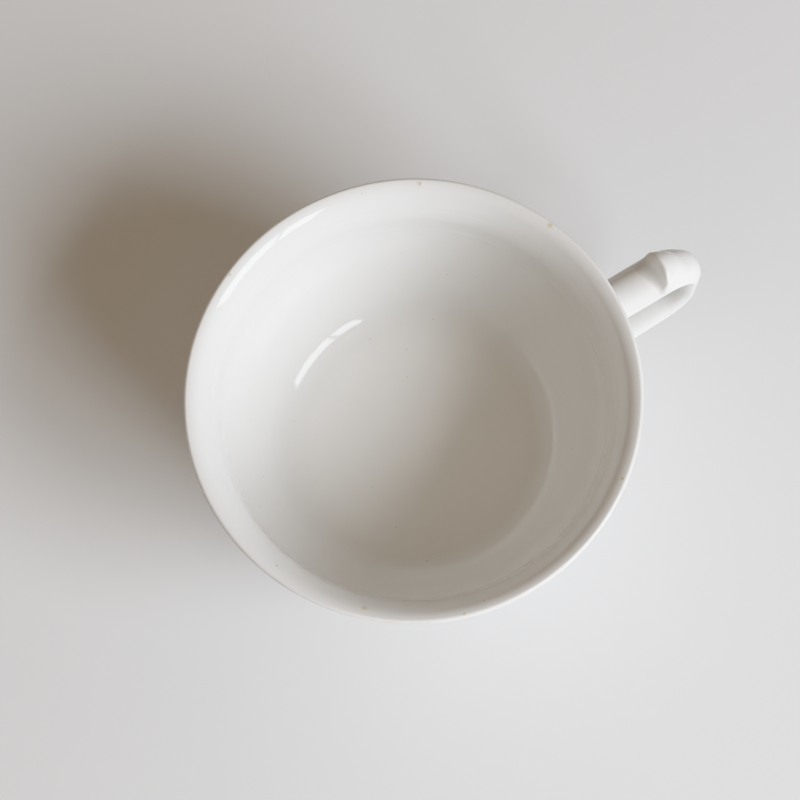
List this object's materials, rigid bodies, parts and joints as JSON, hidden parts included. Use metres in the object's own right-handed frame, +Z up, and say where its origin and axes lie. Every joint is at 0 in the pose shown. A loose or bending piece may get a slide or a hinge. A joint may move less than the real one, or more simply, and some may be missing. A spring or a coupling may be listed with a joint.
{
  "type": "teacup",
  "caption": "Wide white porcelain teacup with a flared lip, a low foot ring and a strap handle with a thumb spur.",
  "frame": {"origin": "on the bowl's axis, on the plane that the foot ring stands on", "axes": "+Z up through the mouth of the bowl, +X from the bowl's axis towards the handle, so the part is the same on both sides of the XZ plane"},
  "size_m": [0.1234, 0.1, 0.052],
  "materials": {
    "bowl_glaze": "clear glossy glaze over white porcelain, with a few grey pinholes and gold specks on the lip",
    "foot_glaze": "clear glossy glaze, wiped off the standing edge, where the bare white body shows",
    "handle_glaze": "clear glossy glaze over white porcelain, slightly thicker in the hollows",
    "joint_glaze": "clear glossy glaze, pooled and a little warmer where the handle meets the bowl"
  },
  "bodies": {
    "root": {"bowl": "bowl_glaze", "foot_ring": "foot_glaze", "handle_loop": "handle_glaze", "thumb_spur": "handle_glaze", "upper_joint_slip": "joint_glaze", "lower_joint_slip": "joint_glaze"}
  },
  "joints": []
}
